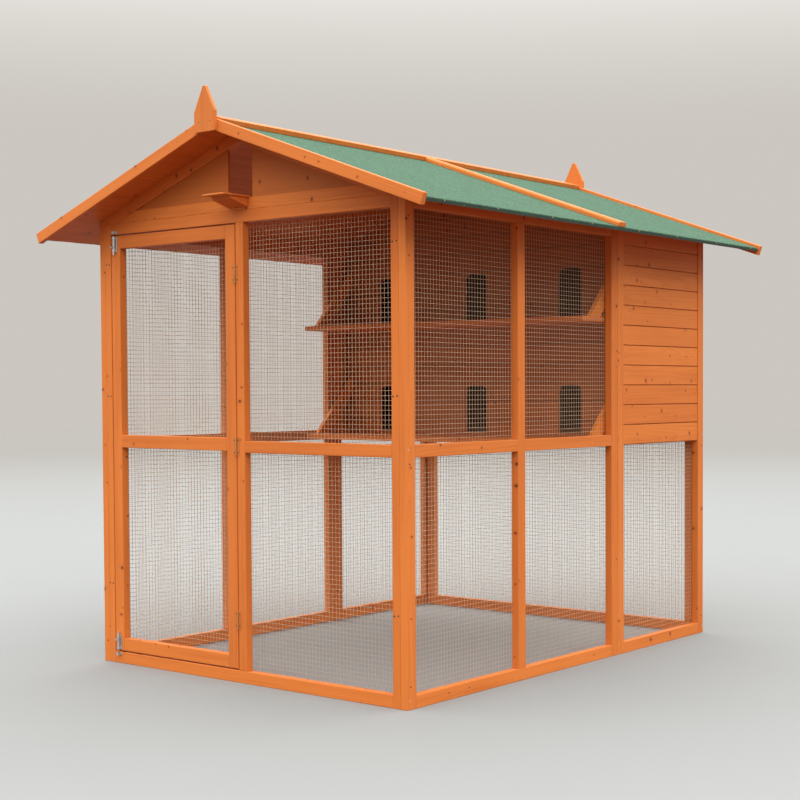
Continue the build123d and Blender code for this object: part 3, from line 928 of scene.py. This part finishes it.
class DOVECOTE_OT_roof_felt(bpy.types.Operator):
    """Lay the green mineral felt, turned down over the eaves"""

    bl_idname = "dovecote.roof_felt"
    bl_label = "Roof felt"

    # Half the gap between two lengths of felt, its thickness, the radius over the eave, how far it
    # stands out past the solid, and how far from the ridge it starts.
    HALF_JOINT = 1.0 * MM
    THICK = 3.0 * MM
    BEND = 4.0 * MM
    PROUD = 0.2 * MM
    RIDGE_GAP = 0.4 * MM
    BEND_STEPS = 5
    RUN_STEPS = 40
    LENGTH_STEP = 22 * MM

    def execute(self, context):
        look = dressing().felt
        materials = [finished("mineral_felt", mineral_felt), finished("felt_edge", bitumen_edge)]
        joint = FRONT + look.joint
        for side, word in SIDES:
            node, name = word + "_roof_felt", word + "_felt_sheets"
            low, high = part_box(node)
            bm = bmesh.new()
            for start, end in ((low.y, joint - self.HALF_JOINT), (joint + self.HALF_JOINT, high.y)):
                self.sheet(bm, look.lip, side, high.z, high.x - low.x, start, end)
            mesh = closed_mesh(name, bm, smooth=True)
            new_piece(name, mesh, materials, "house", [node])
            up = Vector((side * SINE, 0, COSINE))
            down = Vector((side * COSINE, 0, -SINE))
            for face in mesh.polygons:
                seen = face.normal.dot(up) > 0.25 or face.normal.dot(down) > 0.5
                face.material_index = 0 if seen else 1
            mesh.set_sharp_from_angle(angle=math.radians(40))
        return {"FINISHED"}

    def section(self, lip, eave):
        """Upper and lower line of the felt, each point a run down the slope and a rise above it."""
        bend, inner = eave - self.BEND, eave - self.THICK
        under = FELT_TOP - self.THICK
        runs = spread(self.RIDGE_GAP, bend, self.RUN_STEPS)
        turns = spread(0.0, math.pi / 2, self.BEND_STEPS)[1:]
        edge = [FELT_TOP - lip * 0.6, FELT_TOP - lip]
        upper = [(run, FELT_TOP) for run in runs]
        for turn in turns:
            rise = FELT_TOP - self.BEND + self.BEND * math.cos(turn)
            upper.append((bend + self.BEND * math.sin(turn), rise))
        upper += [(eave, rise) for rise in edge]
        lower = [(run, under) for run in runs] + [(inner, under)] * self.BEND_STEPS
        lower += [(inner, rise) for rise in edge]
        return upper, lower

    def sheet(self, bm, lip, side, peak, reach, start, end):
        """One length of felt: a curved section swept along the roof, slightly uneven."""
        ridge = peak - FELT_TOP / COSINE
        eave = (reach + self.PROUD) / COSINE - FELT_TOP * SINE / COSINE
        upper, lower = self.section(lip, eave)
        rings = []
        for y in spread(start, end, max(2, round((end - start) / self.LENGTH_STEP))):
            ragged = noise.noise(Vector((y * 14.0, side * 2.0, 0.5))) * 1.4 * MM
            ragged += noise.noise(Vector((y * 90.0, side * 2.0, 1.5))) * 0.5 * MM
            ring = []
            for number, (run, rise) in enumerate(upper + lower[::-1]):
                spot = Vector((side * run * 5.0, y * 5.0, 3.7))
                swell = (noise.noise(spot) + 1) * 0.35 * MM + (noise.noise(spot * 5) + 1) * 0.12 * MM
                if rise < FELT_TOP - lip * 0.9:
                    rise += ragged
                elif number < len(upper) and run < eave - self.BEND:
                    rise += swell * min(1.0, run / (50 * MM))
                x = side * (run * COSINE + rise * SINE)
                ring.append(bm.verts.new((x, y, ridge - run * SINE + rise * COSINE)))
            rings.append(ring)
        for near, far in zip(rings, rings[1:]):
            bridge(bm, near, far)
        bm.faces.new(rings[0])
        bm.faces.new(rings[-1])


HEAD_SIDES = 16
# The rings of a head, each a share of its radius and of its height.
DOME = ((1.0, -0.4), (1.0, 0.25), (0.82, 0.75), (0.5, 1.0))
# Shares of the radius at a recess's arms and between them, and of the height at its rim and bottom.
CROSS_RECESS = (0.46, 0.13, 0.95, 0.35)
PLAIN_TOP = (0.3, 0.3, 1.02, 1.05)


def screw_head(bm, centre, out, radius, height, slotted=True):
    """A low domed head on a face whose outward direction is out, with a cross recess if slotted."""
    centre, out = Vector(centre), Vector(out).normalized()
    helper = Vector((0, 0, 1)) if abs(out.z) < 0.9 else Vector((1, 0, 0))
    spokes = spokes_round(out, helper, radius, HEAD_SIDES)
    rings = [[bm.verts.new(centre + spoke * share + out * height * lift) for spoke in spokes]
             for share, lift in DOME]
    arm, web, rim, pit = CROSS_RECESS if slotted else PLAIN_TOP
    shares = [web if number % 4 else arm for number in range(HEAD_SIDES)]
    rings.append([bm.verts.new(centre + spoke * share + out * height * rim)
                  for spoke, share in zip(spokes, shares)])
    middle = bm.verts.new(centre + out * height * pit)
    for near, far in zip(rings, rings[1:]):
        bridge(bm, near, far)
    inner = rings[-1]
    for number in range(HEAD_SIDES):
        bm.faces.new((inner[number], inner[(number + 1) % HEAD_SIDES], middle))
    bm.faces.new(rings[0][::-1])


def slope_place(side, run, rise, y):
    """A point on a roof slope, from the ridge under the boards."""
    ridge = RIDGE.z - ROOF_BOARD / COSINE
    return Vector((side * (run * COSINE + rise * SINE), y, ridge - run * SINE + rise * COSINE))


def fixing_piece(name, bm, material, body="house", smooth=False):
    """Puts loose fixings in the scene as one piece."""
    new_piece(name, closed_mesh(name, bm, smooth), [material], body)


class DOVECOTE_OT_fixings(bpy.types.Operator):
    """Drive the screws, board nails and felt nails"""

    bl_idname = "dovecote.fixings"
    bl_label = "Fixings"

    POST_INSET = 16 * MM
    POST_HEIGHTS = (0.075, 0.80, 1.60)
    RAIL_HEIGHTS = (0.304, 1.02, 1.52)
    RAIL_PAIR = (0.711, 0.728)
    SILL_HEIGHT = 0.024
    SILL_PLACES = (-0.766, -0.655, 0.12, 0.55)
    BARGE_RUNS = (0.16, 0.56, 0.94)
    JOINT_RUNS = (0.09, 0.35, 0.63, 0.90)
    RIDGE_SCREWS = 9
    CORNER_INSET = 9 * MM
    CORNER_HEIGHTS = (0.030, 0.846)
    BOLT_HALF = 9.4 * MM
    BOLT_PLATE = 1.5 * MM
    BOLT_ENDS = (14 * MM, 41 * MM)
    HINGE_HALF = 32.5 * MM
    MIDDLE_HINGE = 0.842
    MIDDLE_RAIL = 0.845
    NAIL_INSET = 14 * MM
    FELT_NAILS = 8
    STAPLE_INSET = 5 * MM
    STAPLE_WIRE = 0.6 * MM

    def wall_screws(self, bm, radius):
        """Screws of the posts, of the rails' ends and along the sills."""
        for side in (-1, 1):
            face = side * RIGHT_FACE
            for y, z in product((FRONT + self.POST_INSET, BACK - self.POST_INSET), self.POST_HEIGHTS):
                screw_head(bm, (face, y, z), (side, 0, 0), radius, 0.9 * MM)
            for (y, out), z, x in product(((FRONT, -1), (BACK, 1)), self.RAIL_HEIGHTS, self.RAIL_PAIR):
                screw_head(bm, (side * x, y, z + (x - 0.72) * 0.1), (0, out, 0), radius, 0.7 * MM)
            for y in self.SILL_PLACES:
                screw_head(bm, (face, y, self.SILL_HEIGHT), (side, 0, 0), radius * 0.9, 0.6 * MM)

    def roof_screws(self, bm, radius, joint):
        """Screws of the finials, the barge boards and the battens."""
        for node, out in (("front_finial", -1), ("rear_finial", 1)):
            low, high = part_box(node)
            for x in (-28 * MM, 28 * MM):
                place = (x, low.y if out < 0 else high.y, low.z + 34 * MM)
                screw_head(bm, place, (0, out, 0), radius * 0.6, 0.5 * MM)
        low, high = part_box("barge_boards")
        for side in (-1, 1):
            for run, (y, out) in product(self.BARGE_RUNS, ((low.y, -1), (high.y, 1))):
                place = slope_place(side, run, 7.0 * MM, y)
                screw_head(bm, place, (0, out, 0), radius * 0.55, 0.5 * MM)
            up = (side * SINE, 0, COSINE)
            for run in self.JOINT_RUNS:
                screw_head(bm, slope_place(side, run, BATTEN_TOP, joint), up, radius * 0.7, 0.8 * MM)
            for number in range(self.RIDGE_SCREWS):
                y = low.y + 0.09 + (high.y - low.y - 0.18) * number / (self.RIDGE_SCREWS - 1)
                if abs(y - joint) < 0.04:
                    y += 0.05
                screw_head(bm, slope_place(side, 0.021, BATTEN_TOP, y), up, radius * 0.8, 0.8 * MM)

    def hinge_screws(self, bm, look, side):
        """Two screws in every hinge leaf on one side of the pins."""
        low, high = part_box("door_hinge_leaves")
        x = low.x + 14 * MM + side * 9 * MM
        middles = (low.z + self.HINGE_HALF, self.MIDDLE_HINGE, high.z - self.HINGE_HALF)
        for middle, lift in product(middles, (-22 * MM, 22 * MM)):
            place = (x, low.y + 5.5 * MM, middle + lift)
            screw_head(bm, place, (0, -1, 0), look.screw * 0.42, 0.6 * MM)

    def bolt_screws(self, bm, node, insets):
        """Two columns of small screws, in from both ends of a bolt's plates."""
        low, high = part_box(node)
        heights = [low.z + inset for inset in insets] + [high.z - inset for inset in insets]
        for x, z in product((-self.BOLT_HALF, self.BOLT_HALF), heights):
            place = ((low.x + high.x) / 2 + x, FRONT - self.BOLT_PLATE, z)
            screw_head(bm, place, (0, -1, 0), 2.0 * MM, 0.6 * MM)

    def house_screws(self, look, joint):
        radius = look.screw / 2
        bm = bmesh.new()
        self.wall_screws(bm, radius)
        self.roof_screws(bm, radius, joint)
        self.hinge_screws(bm, look, 1)
        fixing_piece("house_screws", bm, bronze())

        bm = bmesh.new()
        corners = (FRONT + self.CORNER_INSET, BACK - self.CORNER_INSET)
        for side, y, z in product((-1, 1), corners, self.CORNER_HEIGHTS):
            screw_head(bm, (side * RIGHT_FACE, y, z), (side, 0, 0), radius * 0.8, 0.7 * MM)
        self.bolt_screws(bm, "bolt_keepers", (5 * MM,))
        fixing_piece("plated_screws", bm, steel())

    def door_screws(self, look):
        bm = bmesh.new()
        self.hinge_screws(bm, look, -1)
        fixing_piece("door_hinge_screws", bm, bronze(), "door")
        bm = bmesh.new()
        self.bolt_screws(bm, "bolt_cases", self.BOLT_ENDS)
        fixing_piece("bolt_case_screws", bm, steel(), "door")

    def board_nails(self, look, boards):
        """Nails near the ends of every board of the nest box, and at the middle of the rear ones."""
        bm = bmesh.new()
        draw = random.Random(11)
        for side, word in SIDES:
            low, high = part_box(word + "_nest_wall")
            places = (low.y + self.NAIL_INSET, high.y - self.NAIL_INSET)
            rows = lapped_rows(boards, low.z, high.z - 4 * MM)
            self.nail_rows(bm, look, draw, rows, 0, high.x if side > 0 else low.x, side, places)
        low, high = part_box("rear_nest_wall")
        places = (low.x + self.NAIL_INSET, 0.0, high.x - self.NAIL_INSET)
        self.nail_rows(bm, look, draw, lapped_rows(boards, low.z, high.z), 1, high.y, 1, places)
        fixing_piece("board_nails", bm, bronze())

    @staticmethod
    def nail_rows(bm, look, draw, rows, axis, face, out, places):
        """One wall's nails, each a little off its place."""
        for (bottom, top), along in product(rows, places):
            z = (bottom + top) / 2 + draw.uniform(-9, 9) * MM
            place = wall_point(axis, face, along + draw.uniform(-3, 3) * MM, z)
            screw_head(bm, place, wall_point(axis, out, 0, 0), look.nail / 2, 0.25 * MM, slotted=False)

    def felt_nails(self, look):
        bm = bmesh.new()
        draw = random.Random(5)
        low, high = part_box("right_roof_felt")
        eave = high.x / COSINE - FELT_TOP * SINE / COSINE
        for side in (-1, 1):
            for y in spread(low.y + 0.07, high.y - 0.07, self.FELT_NAILS - 1):
                place = slope_place(side, eave, 10.0 * MM, y + draw.uniform(-30, 30) * MM)
                out = (side * COSINE, 0, -SINE)
                screw_head(bm, place, out, look.clout / 2, 0.4 * MM, slotted=False)
        fixing_piece("felt_nails", bm, wire_zinc_painted_reflection())

    def staple(self, bm, middle, along, out, width):
        """A wire bridge: a crown and two legs driven into the wood."""
        half = along.normalized() * width / 2
        radius = self.STAPLE_WIRE
        foot = out * 0.2 * MM
        crown = out * 4.6 * radius
        strand(bm, [middle - half + crown, middle + half + crown], radius, 5)
        for end in (middle - half, middle + half):
            strand(bm, [end + foot, end + crown + out * radius * 0.6], radius, 5)

    def mesh_staples(self, look):
        """Staples round every sheet of mesh, and across the middle rails."""
        draw = random.Random(3)
        parts = {"house": bmesh.new(), "door": bmesh.new()}
        for node, (name, body, along, inward) in DOVECOTE_OT_wire_mesh.SHEETS.items():
            low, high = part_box(node)
            across = 1 - along
            face = low[across] if inward > 0 else high[across]
            out = wall_point(across, inward, 0, 0)
            level, upright = wall_point(across, 0, 1, 0), Vector((0, 0, 1))

            def drive(a, z, way):
                turn = Matrix.Rotation(draw.uniform(-0.25, 0.25), 3, out)
                self.staple(parts[body], wall_point(across, face, a, z), turn @ way, out, look.staple)

            def shares(length):
                """Places along a length, each a little off its equal share."""
                count = max(2, round(length / look.staple_pitch))
                for number in range(count):
                    yield length * ((number + 0.5 + draw.uniform(-0.15, 0.15)) / count)

            levels = [low.z + self.STAPLE_INSET, high.z - self.STAPLE_INSET]
            if high.z - low.z > 1.2:
                levels.append(self.MIDDLE_RAIL)
            for z in levels:
                for share in shares(high[along] - low[along]):
                    drive(low[along] + share, z, level)
            for a in (low[along] + self.STAPLE_INSET, high[along] - self.STAPLE_INSET):
                for share in shares(high.z - low.z):
                    drive(a, low.z + share, upright)
        for body, bm in parts.items():
            fixing_piece(body + "_staples", bm, wire_zinc_painted_reflection(), body, smooth=True)

    def execute(self, context):
        look = dressing().fixings
        self.mesh_staples(look)
        self.house_screws(look, FRONT + dressing().felt.joint)
        self.door_screws(look)
        self.board_nails(look, dressing().boards)
        self.felt_nails(look)
        return {"FINISHED"}


class DOVECOTE_OT_ironmongery(bpy.types.Operator):
    """Plate the hinges and the barrel bolts"""

    bl_idname = "dovecote.ironmongery"
    bl_label = "Ironmongery"

    def execute(self, context):
        hinge = finished("hinge_plate", hinge_plate)
        for name in ("door_hinge_leaves", "post_hinge_leaves"):
            dress_node(name, hinge)
        for name in ("bolt_cases", "top_bolt", "bottom_bolt", "bolt_keepers"):
            dress_node(name, steel())
        return {"FINISHED"}


class DOVECOTE_OT_stage(bpy.types.Operator):
    """Set the pale floor, the soft light and the camera"""

    bl_idname = "dovecote.stage"
    bl_label = "Stage"

    FLOOR_REACH = 30.0
    # Where the floor starts to darken into the far floor and where it has, from the middle of the house:
    # painted shade that fades the floor into the dim horizon.
    FAR = (4.0, 22.0)
    AIM = (0, 0, 0.9)
    SENSOR = 36.0
    CLIP = 200.0

    def floor(self, look):
        bm = bmesh.new()
        bmesh.ops.create_grid(bm, x_segments=8, y_segments=8, size=self.FLOOR_REACH)
        mesh = closed_mesh("floor", bm)
        floor = bpy.data.objects.new("floor", mesh)
        paint = Finish("floor", Roughness=0.9, Specular_IOR_Level=0.1)
        place = paint.coordinates()
        patch = paint.cloud(place, 2.0)
        far = paint.node("VectorMath", {"operation": "LENGTH"}, {0: place}, output="Value")
        colour = paint.mix(patch, look.floor, dimmed(look.floor, 0.97))
        # Painted shade: the floor darkens away from the house to meet the horizon.
        colour = paint.mix(paint.step(far, *self.FAR), colour, look.far_floor_painted_shade)
        mesh.materials.append(paint.wear(Base_Color=colour))
        bpy.context.scene.collection.objects.link(floor)
        floor.visible_diffuse = False

    @staticmethod
    def surround(scene, look):
        """Bright overhead, softer at the sides, dark below."""
        paint = Surround("surround")
        height = paint.axes(paint.coordinates("Generated"))[2]
        light = paint.mix(paint.step(height, -0.30, -0.06), look.ground, look.horizon)
        light = paint.mix(paint.step(height, 0.16, 0.65), light, look.dome)
        scene.world = paint.wear(Color=paint.mix(paint.step(height, 0.60, 0.95), light, look.zenith))

    def key_light(self, look):
        light = bpy.data.lights.new("key_light", "AREA")
        light.shape = "DISK"
        light.size = look.key_size
        light.energy = look.key_strength
        light.color = look.key_tint
        lamp = bpy.data.objects.new("key_light", light)
        lamp.location = look.key_place
        beam = Vector(self.AIM) - Vector(look.key_place)
        lamp.rotation_euler = beam.to_track_quat("-Z", "Y").to_euler()
        bpy.context.scene.collection.objects.link(lamp)

    def camera(self, look):
        forward = Vector((-math.sin(look.turn) * math.cos(look.pitch),
                          math.cos(look.turn) * math.cos(look.pitch), math.sin(look.pitch)))
        right = forward.cross(Vector((0, 0, 1))).normalized()
        up = right.cross(forward)
        across = right * math.cos(look.roll) + up * math.sin(look.roll)
        above = up * math.cos(look.roll) - right * math.sin(look.roll)
        lens = bpy.data.cameras.new("photo_view")
        lens.sensor_width = self.SENSOR
        lens.lens = look.lens
        lens.shift_x, lens.shift_y = look.shift
        lens.clip_end = self.CLIP
        camera = bpy.data.objects.new("photo_view", lens)
        turn = Matrix((across, above, -forward)).transposed().to_4x4()
        camera.matrix_world = Matrix.Translation(look.camera) @ turn
        bpy.context.scene.collection.objects.link(camera)
        bpy.context.scene.camera = camera

    def execute(self, context):
        look = dressing().stage
        self.floor(look)
        self.key_light(look)
        self.surround(context.scene, look)
        context.scene.view_settings.view_transform = "Standard"
        self.camera(look)
        return {"FINISHED"}


class DOVECOTE_PT_panel(bpy.types.Panel):
    """Sizes, colours and building steps of the dovecote"""

    bl_idname = "DOVECOTE_PT_panel"
    bl_label = "Wooden dovecote"
    bl_space_type = "VIEW_3D"
    bl_region_type = "UI"
    bl_category = "Dovecote"

    def draw(self, context):
        for word in DovecoteSettings.__annotations__:
            group = getattr(dressing(), word)
            box = self.layout.box()
            box.label(text=word.capitalize())
            for name in type(group).__annotations__:
                box.prop(group, name)
        for operator in STEPS:
            self.layout.operator(operator.bl_idname)


STEPS = (
    DOVECOTE_OT_timber_frame,
    DOVECOTE_OT_wire_mesh,
    DOVECOTE_OT_nest_cladding,
    DOVECOTE_OT_nest_front,
    DOVECOTE_OT_roof_felt,
    DOVECOTE_OT_fixings,
    DOVECOTE_OT_ironmongery,
    DOVECOTE_OT_stage,
)
CLASSES = (
    TimberSettings, BoardSettings, WireSettings, FeltSettings, FixingSettings, StageSettings,
    DovecoteSettings, *STEPS, DOVECOTE_PT_panel,
)


def register():
    for item in CLASSES:
        bpy.utils.register_class(item)
    bpy.types.Scene.dovecote = PointerProperty(type=DovecoteSettings)


def unregister():
    del bpy.types.Scene.dovecote
    for item in reversed(CLASSES):
        bpy.utils.unregister_class(item)


def main():
    """Builds everything in order."""
    register()
    bpy.ops.dovecote.timber_frame()
    bpy.ops.dovecote.wire_mesh()
    bpy.ops.dovecote.nest_cladding()
    bpy.ops.dovecote.nest_front()
    bpy.ops.dovecote.roof_felt()
    bpy.ops.dovecote.fixings()
    bpy.ops.dovecote.ironmongery()
    bpy.ops.dovecote.stage()


if __name__ == "__main__":
    main()
